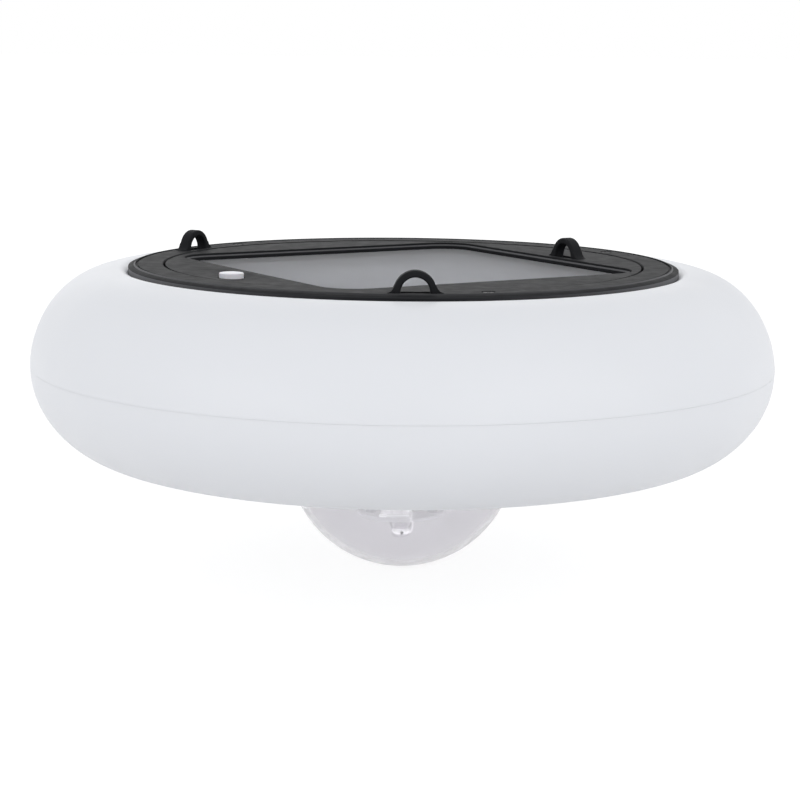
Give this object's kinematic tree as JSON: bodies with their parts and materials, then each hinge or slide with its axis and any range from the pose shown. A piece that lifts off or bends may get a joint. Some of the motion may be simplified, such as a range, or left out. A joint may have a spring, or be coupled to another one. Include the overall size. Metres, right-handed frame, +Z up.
{
  "type": "floating solar pool light",
  "caption": "Floating pool light: a ring-shaped float with a black top that carries a solar panel, a push button and tether eyes, and a clear dome with a lamp below.",
  "frame": {"origin": "on the float's axis, in the plane of the parting line between its two shells", "axes": "+Z up, out of the solar panel; +Y towards the tether eye that stands on the panel tray, away from the push button; +X to the right when the button is nearest"},
  "size_m": [0.35, 0.35, 0.1554],
  "materials": {
    "float_plastic": "white moulded plastic, slightly translucent, satin",
    "black_plastic": "black moulded plastic with a fine texture",
    "button_plastic": "white, satin",
    "white_plastic": "white, satin",
    "grey_plastic": "grey, satin",
    "rubber": "black rubber",
    "silicone": "translucent silicone rubber",
    "clear_plastic": "clear, glossy",
    "panel_glass": "flat glass over the cells",
    "solar_cells": "dark silicon",
    "steel": "stainless, satin",
    "board_green": "green solder mask",
    "board_white": "white board",
    "component": "black moulded resin",
    "cell_wrap": "plain green wrap",
    "cable_jacket": "soft insulation"
  },
  "bodies": {
    "light": {"float_shell_upper": "float_plastic", "float_shell_lower": "float_plastic", "bezel_ring": "black_plastic", "bezel_gasket": "rubber", "bezel_screw_1": "steel", "bezel_screw_2": "steel", "bezel_screw_3": "steel", "panel_tray": "black_plastic", "solar_glass": "panel_glass", "panel_seal": "silicone", "solar_cell_sheet": "solar_cells", "solar_backplate": "board_white", "tether_eye_front": "black_plastic", "tether_eye_left": "black_plastic", "tether_eye_rear": "black_plastic", "button_spring": "steel", "tact_switch": "steel", "switch_board": "board_green", "switch_holder": "grey_plastic", "works_tub": "grey_plastic", "tub_gasket": "rubber", "tub_o_ring": "rubber", "tub_screw_1": "steel", "tub_screw_2": "steel", "tub_screw_3": "steel", "tub_screw_4": "steel", "cable_grommet": "rubber", "battery_holder": "black_plastic", "battery_cell_1": "cell_wrap", "battery_cell_2": "cell_wrap", "battery_cell_3": "cell_wrap", "battery_cell_4": "cell_wrap", "battery_contact_front": "steel", "battery_contact_rear": "steel", "main_board": "board_green", "capacitor": "steel", "charge_chip": "component", "inductor": "component", "dome": "clear_plastic", "dome_gasket": "silicone", "dome_clamp_ring": "white_plastic", "clamp_screw_1": "steel", "clamp_screw_2": "steel", "clamp_screw_3": "steel", "clamp_screw_4": "steel", "lamp_bracket": "white_plastic", "lamp_board": "board_white", "terminal_block": "white_plastic", "led_post": "clear_plastic", "led_base": "steel", "led_lens": "clear_plastic", "led_lead_1": "steel", "led_lead_2": "steel", "solar_cable": "cable_jacket", "switch_cable": "cable_jacket", "battery_cable": "cable_jacket", "lamp_cable": "cable_jacket"},
    "button": {"button_cap": "button_plastic", "button_o_ring": "rubber", "switch_plunger": "component"}
  },
  "joints": [
    {"name": "button_press", "type": "slide", "parent": "light", "child": "button", "axis": [0, 0, -1], "range_m": [0, 0.0015], "stiffness_N_per_m": 600, "springref_m": -0.001, "deforming": ["button_spring"]}
  ]
}
